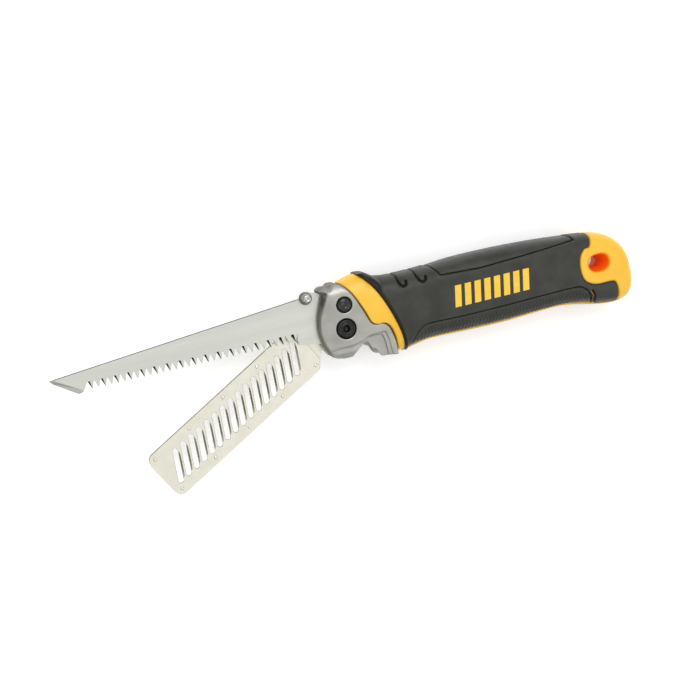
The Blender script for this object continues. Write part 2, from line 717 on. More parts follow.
makeGrip(1, "rubberGripNear", "grip_near")
makeGrip(-1, "rubberGripFar", "grip_far")


def panelField(path, sink, side):
    look = gripLook

    def field(x, y, z):
        edge = outlineAway(path, x, y)
        ledge = np.maximum(rubberAway(x, y, z, look["ledgeSink"]), edge - look["ledge"])
        panel = np.minimum(cut(rubberAway(x, y, z, sink), edge, look["panelRound"]), ledge)
        return np.maximum(panel, halfGap - side * z) if side else panel

    return field


def makePanel(name, path, sink, side, node):
    left, bottom = path.min(0)
    right, top = path.max(0)
    low, high = sideSpan(side, handleReach)
    piece, spots = skinned(name, panelField(path, sink, side),
                           (left - 1, max(bottom - 1, gripLook["panelBottom"]), low),
                           (right + 1, min(top, gripLook["panelTop"]), high), gripLook["step"])
    paint(piece, "clean", stepped(sink + 0.3, sink + 0.9, -formAway(*spots)))
    finishPiece(piece, "handle", rubber, [node])
    return piece


makePanel("thumbPanel", topPanel, 0.25, 0, "top_panel")
ribBases = {1: makePanel("ribPanelNear", ribPanel, 0.5, 1, "rib_panel_near"),
            -1: makePanel("ribPanelFar", ribPanel, 0.5, -1, "rib_panel_far")}
print("handle made")

# cast head, one half each side
headLook = {
    "step": 0.32,
    "reach": 10.3, "low": (-13.4, -19), "high": (24.4, 23.4),
    "cheekTop": cheekTop,
    "bridgeUnder": 19.9, "bridgeLow": -1,
    "edgeRound": 1.2,
    "outline": [[-9.3, 19.8], [-8.9, 18.8], [-7.9, 18.2], [-8.2, 16.6], [-9.6, 13.4], [-11.7, 7.8],
                [-12.7, 2], [-12.4, -3], [-11.2, -8], [-8.9, -12.4], [-5.2, -14.4], [0.4, -14.7],
                [2.1, -13.8], [7, -9.4], [9.4, -8.9], [11.2, -12.5], [13.1, -13.5], [14.9, -17.2],
                [19, -17.7], [22.6, -18.2], [23.4, -18.1], [23.4, -16], [23.1, -9.6], [21.4, -3.6],
                [18.4, -1.3], [15.5, -1.3], [12.7, 0.4], [10.6, 6.1], [6.4, 15.5], [2, 21.2],
                [-1.5, 22.2], [-4.2, 21.5], [-6.8, 21.6], [-8.6, 20.9]],
    "facetLine": [[-24, -8.4], [-7, -7.9], [1.7, -8], [7.1, -6.8], [9.5, -5.3], [14.2, -5], [34, -5]],
    "facetSlope": 0.5, "facetEnd": (7.4, 9.4),
    "frontSlope": (-4.4, 0.36),       # where it starts, rise over run
    "frontBevel": (5.2, 2.4),         # height at the rim, rise over run
    "bevelEnd": (-5, 1),              # the bevel leaves the rim between these
    "hookLower": 1.4,                 # by how much the rim drops round the hook at the top
    "hookSpan": (16.5, 19.5),
    "topSlope": (18.2, 0.7),
    "guardSteps": (3.3, 5.3),         # from the collar
    "stepDown": 0.9, "stepLower": 0.7,
    "screwRoom": 4.95, "screwDeep": 3, "screwBore": 3.3,
    # the wells over and under the plunger: radius, floor, and the bore on from there
    "buttonWell": (3.85, 5.3, 1.8), "clipWell": (4.3, 7.4, 3.0),
}
headOutline = smoothPath(headLook["outline"], closed=True, steps=3)
facetRegion = np.array([*headLook["facetLine"], [34, -60], [-24, -60]])


def headField(side):
    look = headLook
    top = look["cheekTop"]
    wellRadius, wellFloor, wellBore = look["buttonWell"] if side > 0 else look["clipWell"]

    def field(x, y, z):
        height = side * z
        edge = outlineAway(headOutline, x, y)
        below = -outlineAway(facetRegion, x, y)
        collar = -outlineAway(headRear, x, y)
        head = cut(edge, height - top, look["edgeRound"])
        # the faces that slope away: low on the cheek, towards the tip, round the rim, at the top
        facet = np.maximum(below, 0) * (1 - stepped(*look["facetEnd"], x))
        slope = look["facetSlope"]
        head = cut(head, (height - top + slope * facet) / math.hypot(1, slope), 0.7)
        start, slope = look["frontSlope"]
        head = cut(head, (height - top - slope * (x - start)) / math.hypot(1, slope), 0.9)
        rim, slope = look["frontBevel"]
        rim = rim - look["hookLower"] * stepped(*look["hookSpan"], y)
        bevel = height - rim + slope * edge - 9 * stepped(*look["bevelEnd"], x)
        head = cut(head, bevel / math.hypot(1, slope), 0.6)
        start, slope = look["topSlope"]
        head = cut(head, (height - top + slope * (y - start)) / math.hypot(1, slope), 1.2)
        for i, step in enumerate(look["guardSteps"], 1):
            tread = np.maximum(step - collar, look["stepLower"] * i - below)
            head = cut(head, -np.maximum(tread, top - i * look["stepDown"] - height), 0.3)
        # room for the blades under the bridge, the screw, the button or the clip, and the stud
        blades = np.maximum(y - look["bridgeUnder"], height - handleShape["slotHalf"])
        head = cut(head, -np.maximum(blades, look["bridgeLow"] - height), 0.7)
        screw = np.maximum(roundAway(x, y, (0, 0), look["screwRoom"]), top - look["screwDeep"] - height)
        head = cut(head, -screw, 0.7)
        head = np.maximum(head, -roundAway(x, y, (0, 0), look["screwBore"]))
        well = np.maximum(roundAway(x, y, buttonPlace, wellRadius), wellFloor - height)
        head = cut(head, -well, 0.7)
        head = np.maximum(head, -roundAway(x, y, buttonPlace, wellBore))
        if side > 0:
            head = cut(head, -studRoomAway(x, y, z), 0.4)
        return np.maximum(head, halfGap - height)

    return field


def makeHead(side, name, node):
    low, high = sideSpan(side, headLook["reach"])
    piece, _ = skinned(name, headField(side), (*headLook["low"], low), (*headLook["high"], high),
                       headLook["step"])
    finishPiece(piece, "handle", castZinc, [node])


makeHead(1, "castHeadNear", "head_near")
makeHead(-1, "castHeadFar", "head_far")
print("head made")


# plates from an outline, with holes, drawn as layers so that an edge can be ground
def plateMesh(layers, holes=()):
    # layers are (outline, height) from bottom to top, all with as many points, and holes go
    # straight through
    points, faces = [], []

    def wall(loops, inward):
        base = len(points)
        size = len(loops[0][0])
        for loop, height in loops:
            points.extend([(px, py, height) for px, py in loop])
        for i in range(len(loops) - 1):
            for k in range(size):
                a, b = base + i * size + k, base + i * size + (k + 1) % size
                quad = [a, b, b + size, a + size]
                faces.append(quad[::-1] if inward else quad)
        return base, base + (len(loops) - 1) * size

    ends = [(*wall(layers, False), len(layers[0][0]))]
    low, high = layers[0][1], layers[-1][1]
    for hole in holes:
        ends.append((*wall([(hole, low), (hole, high)], True), len(hole)))
    for side in (0, 1):
        ids = [end[side] + k for end in ends for k in range(end[2])]
        loops, first = [], 0
        for end in ends:
            loops.append([Vector(points[i]) for i in ids[first:first + end[2]]])
            first += end[2]
        for a, b, c in tessellate_polygon(loops):
            a, b, c = ids[a], ids[b], ids[c]
            (ax, ay, _), (bx, by, _), (cx, cy, _) = points[a], points[b], points[c]
            up = (bx - ax) * (cy - ay) - (by - ay) * (cx - ax) > 0
            faces.append([a, b, c] if up == (side == 1) else [c, b, a])
    return points, faces


def arc(centre, radius, start, end, count):
    angles = np.radians(np.linspace(start, end, count))
    return [(centre[0] + radius * math.cos(a), centre[1] + radius * math.sin(a)) for a in angles]


def turned(points, degrees):
    a = math.radians(degrees)
    points = np.array(points, float)
    x, y = points[:, 0].copy(), points[:, 1].copy()
    points[:, 0] = x * math.cos(a) - y * math.sin(a)
    points[:, 1] = x * math.sin(a) + y * math.cos(a)
    return points


def bevelled(piece, width):
    # takes a finished shape's sharp edges off and keeps the result as a plain mesh
    modifier = piece.modifiers.new("edges", "BEVEL")
    modifier.width = width * mm
    modifier.segments = 1
    modifier.limit_method = "ANGLE"
    modifier.angle_limit = math.radians(30)
    modifier.harden_normals = False
    mesh = bpy.data.meshes.new_from_object(piece.evaluated_get(bpy.context.evaluated_depsgraph_get()))
    piece.modifiers.clear()
    piece.data = mesh


# lathe work: rings of (radius, height), or (flat radius, height, 6) for a six-sided one
def turnedMesh(rings, centre, sides=64):
    points, faces = [], []
    for ring in rings:
        radius, height = ring[:2]
        for k in range(sides):
            angle = 2 * math.pi * k / sides
            reach = radius
            if len(ring) > 2:
                part = 2 * math.pi / ring[2]
                reach = radius / math.cos((angle + part / 2) % part - part / 2)
            points.append((centre[0] + reach * math.cos(angle),
                           centre[1] + reach * math.sin(angle), height))
    for i in range(len(rings) - 1):
        for k in range(sides):
            a, b = i * sides + k, i * sides + (k + 1) % sides
            faces.append([a, b, b + sides, a + sides])
    first, last = len(points), len(points) + 1
    points += [(*centre, rings[0][1]), (*centre, rings[-1][1])]
    for k in range(sides):
        faces.append([first, (k + 1) % sides, k])
        a = (len(rings) - 1) * sides
        faces.append([last, a + k, a + (k + 1) % sides])
    return points, faces


# geometry node trees for what repeats
def newTree(name, inputs):
    tree = bpy.data.node_groups.new(name, "GeometryNodeTree")
    for label, kind in [("Geometry", "Geometry"), *inputs]:
        tree.interface.new_socket(label, in_out="INPUT", socket_type="NodeSocket" + kind)
    tree.interface.new_socket("Geometry", in_out="OUTPUT", socket_type="NodeSocketGeometry")
    return tree, tree.nodes.new("NodeGroupInput").outputs


def closeTree(tree, geometry, material):
    solid = addNode(tree, "GeometryNodeRealizeInstances", links={"Geometry": geometry})
    coated = addNode(tree, "GeometryNodeSetMaterial",
                     links={"Geometry": solid.outputs[0], "Material": material})
    tree.links.new(coated.outputs[0], tree.nodes.new("NodeGroupOutput").inputs[0])


def runTree(tree, values, name="made"):
    holder = pieceFrom(name, bpy.data.meshes.new(name))
    modifier = holder.modifiers.new("nodes", "NODES")
    modifier.node_group = tree
    for socket in tree.interface.items_tree:
        if socket.in_out == "INPUT" and socket.name in values:
            modifier[socket.identifier] = values[socket.name]
    mesh = bpy.data.meshes.new_from_object(holder.evaluated_get(bpy.context.evaluated_depsgraph_get()))
    bpy.data.objects.remove(holder)
    return mesh


def rowTree():
    # copies of a part at equal steps along a line
    tree, given = newTree("row", [("Part", "Object"), ("Count", "Int"), ("First", "Vector"),
                                  ("Step", "Vector"), ("Turn", "Float"), ("Finish", "Material")])
    line = addNode(tree, "GeometryNodeMeshLine", {"mode": "OFFSET"},
                   {"Count": given["Count"], "Start Location": given["First"], "Offset": given["Step"]})
    part = addNode(tree, "GeometryNodeObjectInfo", links={"Object": given["Part"]})
    turn = addNode(tree, "ShaderNodeCombineXYZ", links={"Z": given["Turn"]})
    copies = addNode(tree, "GeometryNodeInstanceOnPoints",
                     links={"Points": line.outputs[0], "Instance": part.outputs["Geometry"],
                            "Rotation": turn.outputs[0]})
    closeTree(tree, copies.outputs[0], given["Finish"])
    return tree


def ringTree():
    # copies of a part round a circle, each turned to face out
    tree, given = newTree("ring", [("Part", "Object"), ("Count", "Int"), ("Radius", "Float"),
                                   ("Centre", "Vector"), ("Finish", "Material")])
    circle = addNode(tree, "GeometryNodeMeshCircle",
                     links={"Vertices": given["Count"], "Radius": given["Radius"]})
    place = addNode(tree, "GeometryNodeInputPosition")
    face = addNode(tree, "FunctionNodeAlignRotationToVector", {"axis": "X"},
                   {"Vector": place.outputs[0]})
    part = addNode(tree, "GeometryNodeObjectInfo", links={"Object": given["Part"]})
    copies = addNode(tree, "GeometryNodeInstanceOnPoints",
                     links={"Points": circle.outputs[0], "Instance": part.outputs["Geometry"],
                            "Rotation": face.outputs[0]})
    moved = addNode(tree, "GeometryNodeTransform",
                    links={"Geometry": copies.outputs[0], "Translation": given["Centre"]})
    closeTree(tree, moved.outputs[0], given["Finish"])
    return tree


def drapeTree():
    # a row of a part laid out flat, then laid on a surface: its height becomes height above the
    # surface, and what would pass the surface's lowest edge is held there
    tree, given = newTree("drapedRow", [("Part", "Object"), ("Surface", "Object"), ("Count", "Int"),
                                        ("First", "Vector"), ("Step", "Vector"), ("From", "Float"),
                                        ("Lowest", "Float"), ("Finish", "Material")])
    line = addNode(tree, "GeometryNodeMeshLine", {"mode": "OFFSET"},
                   {"Count": given["Count"], "Start Location": given["First"], "Offset": given["Step"]})
    part = addNode(tree, "GeometryNodeObjectInfo", links={"Object": given["Part"]})
    copies = addNode(tree, "GeometryNodeInstanceOnPoints",
                     links={"Points": line.outputs[0], "Instance": part.outputs["Geometry"]})
    solid = addNode(tree, "GeometryNodeRealizeInstances", links={"Geometry": copies.outputs[0]})
    surface = addNode(tree, "GeometryNodeObjectInfo", links={"Object": given["Surface"]})
    laidOut = addNode(tree, "GeometryNodeInputPosition")
    spot = addNode(tree, "ShaderNodeSeparateXYZ", links={0: laidOut.outputs[0]})
    kept = addNode(tree, "ShaderNodeMath", {"operation": "MAXIMUM"},
                   {0: spot.outputs["Y"], 1: given["Lowest"]})
    source = addNode(tree, "ShaderNodeCombineXYZ",
                     links={"X": spot.outputs["X"], "Y": kept.outputs[0], "Z": given["From"]})
    back = addNode(tree, "ShaderNodeMath", {"operation": "MULTIPLY", 1: -1.0}, {0: given["From"]})
    ray = addNode(tree, "ShaderNodeCombineXYZ", links={"Z": back.outputs[0]})
    hit = addNode(tree, "GeometryNodeRaycast", {"Ray Length": 1.0},
                  {"Target Geometry": surface.outputs["Geometry"], "Source Position": source.outputs[0],
                   "Ray Direction": ray.outputs[0]})
    rise = addNode(tree, "ShaderNodeVectorMath", {"operation": "SCALE"},
                   {0: hit.outputs["Hit Normal"], "Scale": spot.outputs["Z"]})
    place = addNode(tree, "ShaderNodeVectorMath", {"operation": "ADD"},
                    {0: hit.outputs["Hit Position"], 1: rise.outputs[0]})
    laid = addNode(tree, "GeometryNodeSetPosition",
                   links={"Geometry": solid.outputs[0], "Position": place.outputs[0]})
    closeTree(tree, laid.outputs[0], given["Finish"])
    return tree


def sheetTree():
    # a sheet cut to an outline and pierced by a row of leaning slots with round ends
    tree, given = newTree("piercedSheet", [("Outline", "Object"), ("Slots", "Int"), ("First", "Vector"),
                                           ("Step", "Vector"), ("Lean", "Float"),
                                           ("Length", "Float"), ("Width", "Float"),
                                           ("Corner", "Float"), ("Thickness", "Float"),
                                           ("Height", "Float"), ("Finish", "Material")])
    outline = addNode(tree, "GeometryNodeObjectInfo", links={"Object": given["Outline"]})
    line = addNode(tree, "GeometryNodeMeshLine", {"mode": "OFFSET"},
                   {"Count": given["Slots"], "Start Location": given["First"], "Offset": given["Step"]})
    slot = addNode(tree, "GeometryNodeCurvePrimitiveQuadrilateral",
                   links={"Width": given["Length"], "Height": given["Width"]})
    slot = addNode(tree, "GeometryNodeFilletCurve", {"mode": "POLY", "Count": 4},
                   {"Curve": slot.outputs[0], "Radius": given["Corner"]})
    lean = addNode(tree, "ShaderNodeCombineXYZ", links={"Z": given["Lean"]})
    slots = addNode(tree, "GeometryNodeInstanceOnPoints",
                    links={"Points": line.outputs[0], "Instance": slot.outputs[0],
                           "Rotation": lean.outputs[0]})
    loops = tree.nodes.new("GeometryNodeJoinGeometry")
    tree.links.new(slots.outputs[0], loops.inputs[0])
    tree.links.new(outline.outputs["Geometry"], loops.inputs[0])
    flat = addNode(tree, "GeometryNodeRealizeInstances", links={"Geometry": loops.outputs[0]})
    sheet = addNode(tree, "GeometryNodeFillCurve", links={"Curve": flat.outputs[0]})
    under = addNode(tree, "GeometryNodeFlipFaces", links={"Mesh": sheet.outputs[0]})
    raised = addNode(tree, "GeometryNodeExtrudeMesh", {"Individual": False},
                     {"Mesh": sheet.outputs[0], "Offset Scale": given["Thickness"]})
    both = tree.nodes.new("GeometryNodeJoinGeometry")
    tree.links.new(raised.outputs[0], both.inputs[0])
    tree.links.new(under.outputs[0], both.inputs[0])
    sealed = addNode(tree, "GeometryNodeMergeByDistance", {"Distance": 0.001 * mm},
                     {"Geometry": both.outputs[0]})
    height = addNode(tree, "ShaderNodeCombineXYZ", links={"Z": given["Height"]})
    lifted = addNode(tree, "GeometryNodeTransform",
                     links={"Geometry": sealed.outputs[0], "Translation": height.outputs[0]})
    closeTree(tree, lifted.outputs[0], given["Finish"])
    return tree


def coilTree():
    # round wire wound into a coil
    tree, given = newTree("coiledWire", [("Radius", "Float"), ("Wire", "Float"),
                                         ("Turns", "Float"), ("Height", "Float"),
                                         ("Place", "Vector"), ("Finish", "Material")])
    path = addNode(tree, "GeometryNodeCurveSpiral", {"Resolution": 24},
                   {"Rotations": given["Turns"], "Start Radius": given["Radius"],
                    "End Radius": given["Radius"], "Height": given["Height"]})
    section = addNode(tree, "GeometryNodeCurvePrimitiveCircle", {"Resolution": 8},
                      {"Radius": given["Wire"]})
    wire = addNode(tree, "GeometryNodeCurveToMesh", {"Fill Caps": True},
                   {"Curve": path.outputs[0], "Profile Curve": section.outputs[0]})
    moved = addNode(tree, "GeometryNodeTransform",
                    links={"Geometry": wire.outputs[0], "Translation": given["Place"]})
    closeTree(tree, moved.outputs[0], given["Finish"])
    return tree


rowOf, ringOf, drapedRow = rowTree(), ringTree(), drapeTree()
piercedSheet, coiledWire = sheetTree(), coilTree()


def helper(name, points, faces, smooth=False):
    # a shape that a tree copies: millimetres about its own origin, removed again once used
    return pieceFrom(name, meshOf(name, np.asarray(points, float) * mm, faces, smooth))


def joined(meshes, name, smooth=False):
    points, faces = [], []
    for mesh in meshes:
        base = len(points)
        points += [tuple(vertex.co) for vertex in mesh.vertices]
        faces += [[base + i for i in polygon.vertices] for polygon in mesh.polygons]
    return pieceFrom(name, meshOf(name, points, faces, smooth))


def slab(across, lengthwise, topAt, under):
    # a small closed slab: topAt takes -1 to 1 both ways and gives a top point, the underside is flat
    points = [topAt(k / (across - 1) * 2 - 1, i / (lengthwise - 1) * 2 - 1)
              for i in range(lengthwise) for k in range(across)]
    size = len(points)
    points += [(x, y, under) for x, y, z in points]
    faces = []
    for i in range(lengthwise - 1):
        for k in range(across - 1):
            a = i * across + k
            faces += [[a, a + 1, a + across + 1, a + across],
                      [size + a + across, size + a + across + 1, size + a + 1, size + a]]
    rim = [*range(across), *range(2 * across - 1, size, across),
           *range(size - 2, size - across - 1, -1), *range(size - 2 * across, 0, -across)]
    faces += [[b, a, size + a, size + b] for a, b in zip(rim, rim[1:] + rim[:1])]
    return points, faces


# saw blade: spear point ground on both sides, teeth ground alternately
sawLook = {
    "tip": (-143, 8), "tipEdge": [(-141.2, 6), (-130.6, -1.2), (-128.6, -0.7)],
    "spineRoot": (-17, 18.6),
    "pitch": 3.12, "teeth": 33, "depth": 4.0, "first": (-124.0, -0.3), "drop": -0.013,
    "heel": [(-23.4, -1.2), (-22.8, -3.4), (-12.3, -5.4), (-6.8, -6)],
    "tang": 9.8, "shoulder": (-1.8, 19.5), "shoulderRoot": -10, "ear": 3,
    "grind": 1.7,           # width of the ground edge at the tip
    "pointGrind": 3.23,     # how far the grind runs back from the very point
    "spineBevel": 0.25, "facet": 1.05,
    "bore": 3.15, "studHole": 1.6,
    "edgeHeight": 0.35,     # where the tip's edge lies in the blade's thickness
    "toothLean": 0.12, "toothWear": 0.2,
}
studPlace = placeOf("thumb_stud")[:2]


def makeSaw(look):
    (x0, y0), pitch, depth, teeth = look["first"], look["pitch"], look["depth"], look["teeth"]
    drop, (shoulderX, shoulderY) = look["drop"], look["shoulder"]
    lineStart = (x0 - pitch / 2, y0 + depth)
    lineEnd = (x0 + (teeth - 0.5) * pitch, y0 + depth + drop * teeth * pitch)
    tang = arc((0, 0), look["tang"], 225, 450, 24)
    ear = arc(studPlace, look["ear"], 60, 170, 8)
    outline = np.array([look["tip"], *look["tipEdge"], lineStart, lineEnd, *look["heel"], *tang,
                        (shoulderX, look["tang"] - 0.2), look["shoulder"],
                        (look["shoulderRoot"], shoulderY), *ear, look["spineRoot"]])
    # the outline drawn in where the tip and the spine are ground
    edge = np.array(look["tipEdge"][1]) - np.array(look["tipEdge"][0])
    inward = np.array([-edge[1], edge[0]]) / np.hypot(*edge) * look["grind"]
    spine = np.array(look["spineRoot"]) - np.array(look["tip"])
    ground = outline.copy()
    ground[0] += spine / np.hypot(*spine) * look["pointGrind"] + (0.1, -0.25)
    ground[1] += inward * 1.05
    ground[2] += inward + (0.9, 0.3)
    ground[3] += (0.5, 0.6)
    ground[-1] += (0, -look["spineBevel"])
    middle = sawLow + look["edgeHeight"] * (sawHigh - sawLow)
    layers = [(ground * 0.35 + outline * 0.65, sawLow), (outline, middle),
              (outline * 0.85 + ground * 0.15, middle + 0.15), (ground, sawHigh)]
    holes = [arc((0, 0), look["bore"], 0, 345, 24), arc(studPlace, look["studHole"], 0, 330, 12)]
    blade = solid("sawBlade", *plateMesh(layers, holes), False)
    finishPiece(blade, "saw", sawSteel, ["saw_blade"])

    # one flank is ground away towards a face, on every other tooth towards the near one
    half, facet, lean, worn = pitch / 2, look["facet"], look["toothLean"], look["toothWear"] - depth
    full = [(-half, 0), (0, -depth), (half, 0)]
    cutLeft = [(-half + facet, 0), (lean, worn), (half, 0)]
    cutRight = [(-half, 0), (-lean, worn), (half - facet, 0)]
    rows = []
    for i, (farSide, nearSide) in enumerate([(full, cutLeft), (cutRight, full)]):
        part = helper("tooth", *plateMesh([(farSide, sawLow), (nearSide, sawHigh)]))
        first = inFrame([x0 + i * pitch, y0 + depth + drop * i * pitch, 0])
        rows.append(runTree(rowOf, {
            "Part": part, "Count": (teeth + 1 - i) // 2, "First": first.tolist(),
            "Step": (2 * pitch * mm, 2 * pitch * drop * mm, 0), "Finish": sawSteel}))
        bpy.data.objects.remove(part)
    finishPiece(joined(rows, "sawTeeth"), "saw", sawSteel)


makeSaw(sawLook)
print("saw made")

# rasp: a pierced front sheet on a pierced back plate, ten rivets, a cutting lip at every slot
raspLook = {
    "angle": 29, "length": 113.5, "middle": 4.1, "half": 12.7, "corner": 4,
    "slots": 16, "pitch": 5.09, "first": -103.9, "lean": 60, "slotLength": 17.2, "slotWidth": 2.6,
    "backGrow": 0.5,        # the back plate's slots are wider and longer by this
    "edgeBevel": 0.12,
    "rivetColumns": 5, "rivetFirst": -110, "rivetStep": 22, "rivetRow": 9.75,
    "rivetHead": 0.85, "rivetProud": 0.2,
    "tang": 9.8, "shoulder": (-1.8, 19.5), "shoulderRoot": -12,
    "lipHeight": 0.75, "lipWidth": 0.9, "lipShort": 2.4, "lipEnd": 0.06,
}


def cyclicCurve(name, outline, height):
    curve = bpy.data.curves.new(name, "CURVE")
    spline = curve.splines.new("POLY")
    spline.points.add(len(outline) - 1)
    for point, (x, y) in zip(spline.points, outline):
        point.co = (*inFrame([x, y, height]), 1)
    spline.use_cyclic_u = True
    return pieceFrom(name, curve)


def lipShape(look):
    # the slot's edge nearest the handle, turned up: a long low wedge with an upright inner face
    height, inner, sections = look["lipHeight"], -look["slotWidth"] / 2, 9
    points, faces = [], []
    for i in range(sections):
        t = i / (sections - 1) * 2 - 1
        place = t * (look["slotLength"] - look["lipShort"]) / 2
        swell = (1 - t**4)**0.5
        foot = inner - look["lipWidth"] * (0.3 + 0.7 * swell)
        rise = look["lipEnd"] + (height - look["lipEnd"]) * swell
        points += [(place, inner, rise), (place, foot, 0.01), (place, inner, -0.25)]
    for i in range(sections - 1):
        for k in range(3):
            a, b = i * 3 + k, i * 3 + (k + 1) % 3
            faces.append([a, b, b + 3, a + 3])
    faces += [[2, 1, 0], [len(points) - 3, len(points) - 2, len(points) - 1]]
    return points, faces


def makeRasp(look):
    angle, corner, (shoulderX, shoulderY) = look["angle"], look["corner"], look["shoulder"]
    far, low, high = -look["length"], look["middle"] - look["half"], look["middle"] + look["half"]
    farEnd = [*arc((far + corner, high - corner), corner, 90, 180, 7),
              *arc((far + corner, low + corner), corner, 180, 270, 7)]
    tang = arc((0, 0), look["tang"], 235, 450, 24)
    back = [*farEnd, (-21.4, low), (-15.5, -2.4), (-9.4, -2.4), (-8.4, -5.1), *tang,
            (shoulderX, look["tang"] - 0.2), look["shoulder"], (look["shoulderRoot"], shoulderY),
            (-14.5, high)]
    front = [*farEnd, (-22.2, low), (-18.4, low + 4.0), (-18.2, low + 4.6), (-18.2, high)]
    lean = math.radians(look["lean"] + angle)
    step = (*turned([(look["pitch"], 0)], angle)[0] * mm, 0)
    first = turned([(look["first"], look["middle"])], angle)[0]
    for name, node, outline, bottom, top, grow in (
            ("raspBackPlate", "rasp_back_plate", back, backLow, backHigh, look["backGrow"]),
            ("raspFrontSheet", "rasp_front_sheet", front, frontLow, frontHigh, 0)):
        curve = cyclicCurve(name + "Outline", turned(outline, angle), bottom)
        start = inFrame([*first, bottom]).tolist()
        sheet = pieceFrom(name, runTree(piercedSheet, {
            "Outline": curve, "Slots": look["slots"], "First": start, "Step": step, "Lean": lean,
            "Length": (look["slotLength"] + grow) * mm, "Width": (look["slotWidth"] + grow) * mm,
            "Corner": (look["slotWidth"] / 2 - 0.01) * mm, "Thickness": (top - bottom) * mm,
            "Height": start[2], "Finish": raspNickel}, name))
        bpy.data.objects.remove(curve)
        bevelled(sheet, look["edgeBevel"])
        finishPiece(sheet, "rasp", raspNickel, [node])

    part = helper("lip", *lipShape(look))
    lips = runTree(rowOf, {"Part": part, "Count": look["slots"], "Step": step, "Turn": lean,
                           "First": inFrame([*first, frontHigh]).tolist(), "Finish": raspNickel})
    bpy.data.objects.remove(part)
    finishPiece(joined([lips], "raspLips"), "rasp", raspNickel)

    # rivets: low domes on both faces of the pair of sheets
    over, head, proud = frontHigh - backLow, look["rivetHead"], look["rivetProud"]
    under = [(0.35, -proud), (head - 0.2, 0.06 - proud), (head, 0), (0.6, 0.02)]
    profile = under + [(radius, over - height) for radius, height in under[::-1]]
    part = helper("rivet", *turnedMesh(profile, (0, 0), 16))
    step = (*turned([(look["rivetStep"], 0)], angle)[0] * mm, 0)
    rows = []
    for side in (1, -1):
        start = turned([(look["rivetFirst"], look["middle"] + side * look["rivetRow"])], angle)[0]
        rows.append(runTree(rowOf, {"Part": part, "Count": look["rivetColumns"], "Step": step,
                                    "First": inFrame([*start, backLow]).tolist(),
                                    "Finish": raspNickel}))
    bpy.data.objects.remove(part)
    finishPiece(joined(rows, "raspRivets", True), "rasp", raspNickel,
                [f"rasp_rivet_{i}" for i in range(1, 11)])


makeRasp(raspLook)
print("rasp made")

# thumb stud on the saw: knurled side, polished cap
studLook = {"radius": 3.15, "top": 7, "base": 2.2, "neck": 1.45, "taper": 0.9,
            "ridges": 26, "ridgeDeep": 0.25, "ridgeWide": 0.22}


def makeStud(look):
    r, top, base = look["radius"], look["top"], look["base"]
    rings = [(look["neck"], sawLow + 0.05), (look["neck"], base), (r - 0.5, base),
             (r - 0.1, base + 0.25), (r, base + 0.6),
             (r - 0.9, top - 1.35), (r - 1.05, top - 1.25), (r - 1.05, top - 1.1),
             (r - 0.95, top - 0.95), (r - 1.1, top - 0.55), (r - 1.5, top - 0.25),
             (r - 2.1, top - 0.1), (r - 2.3, top - 0.25), (0.4, top - 0.32)]
    stud = solid("thumbStud", *turnedMesh(rings, studPlace))
    # one ridge of the knurl leans in towards the cap, as the side does
    deep, wide, tall, back = look["ridgeDeep"], look["ridgeWide"], top - base - 2.1, -0.3
    taper = look["taper"]
    points = [(back, -wide, 0), (back, wide, 0), (deep, 0, 0.25), (back - taper, -wide * 0.7, tall),
              (back - taper, wide * 0.7, tall), (deep - taper, 0, tall - 0.25)]
    faces = [[2, 1, 0], [4, 5, 3], [3, 5, 2, 0], [5, 4, 1, 2], [4, 3, 0, 1]]
    part = helper("ridge", points, faces)
    ridges = runTree(ringOf, {"Part": part, "Count": look["ridges"], "Radius": r * mm,
                              "Centre": inFrame([*studPlace, base + 0.75]).tolist(),
                              "Finish": chromePlate})
    bpy.data.objects.remove(part)
    finishPiece(stud, "saw", chromePlate, ["thumb_stud"])
    finishPiece(joined([ridges], "thumbStudKnurl"), "saw", chromePlate)


makeStud(studLook)

# pivot screw, sleeve nut, lock button and the screws on the far side
screwLook = {"radius": 4.65, "proud": 0.2, "hex": 1.55, "hexDeep": 2.0, "seat": 2.8,
             "shank": 1.7, "shankEnd": -5, "sleeve": 2.95, "sleeveEnd": 3.1}


def capRings(look):
    # a head with a broad rounded rim, a fine groove round its face and a socket in the middle
    r, foot, top = look["radius"], cheekTop - look["seat"], cheekTop + look["proud"]
    socket, floor = look["hex"], cheekTop + look["proud"] - look["hexDeep"]
    return [(r - 0.2, foot), (r, foot + 0.2), (r, top - 0.75), (r - 0.25, top - 0.3),
            (r - 0.8, top - 0.05), (r - 1.3, top), (r - 1.5, top - 0.12), (r - 1.7, top - 0.12),
            (r - 1.9, top), (socket + 0.3, top), (socket, top - 0.25, 6), (socket, floor, 6),
            (0.3, floor - 0.3)]


def makeScrews(look):
    foot, cap = cheekTop - look["seat"], capRings(look)
    shank = [(look["shank"], look["shankEnd"]), (look["shank"], foot)]
    screw = solid("pivotScrew", *turnedMesh(shank + cap, (0, 0), 72))
    finishPiece(screw, "handle", blackOxide, ["pivot_screw"])
    # the sleeve nut's head is the same and faces the other way
    sleeve = [(look["sleeve"], look["sleeveEnd"] - cheekTop), (look["sleeve"], -foot)]
    points, faces = turnedMesh(sleeve + cap, (0, 0), 72)
    nut = solid("pivotNutHead", [(x, -y, -z) for x, y, z in points], faces)
    finishPiece(nut, "handle", blackOxide)


makeScrews(screwLook)

buttonLook = {"radius": 3.6, "base": 8.2, "top": 11, "bore": 3.1, "ceiling": 9.9, "dome": 1.5}


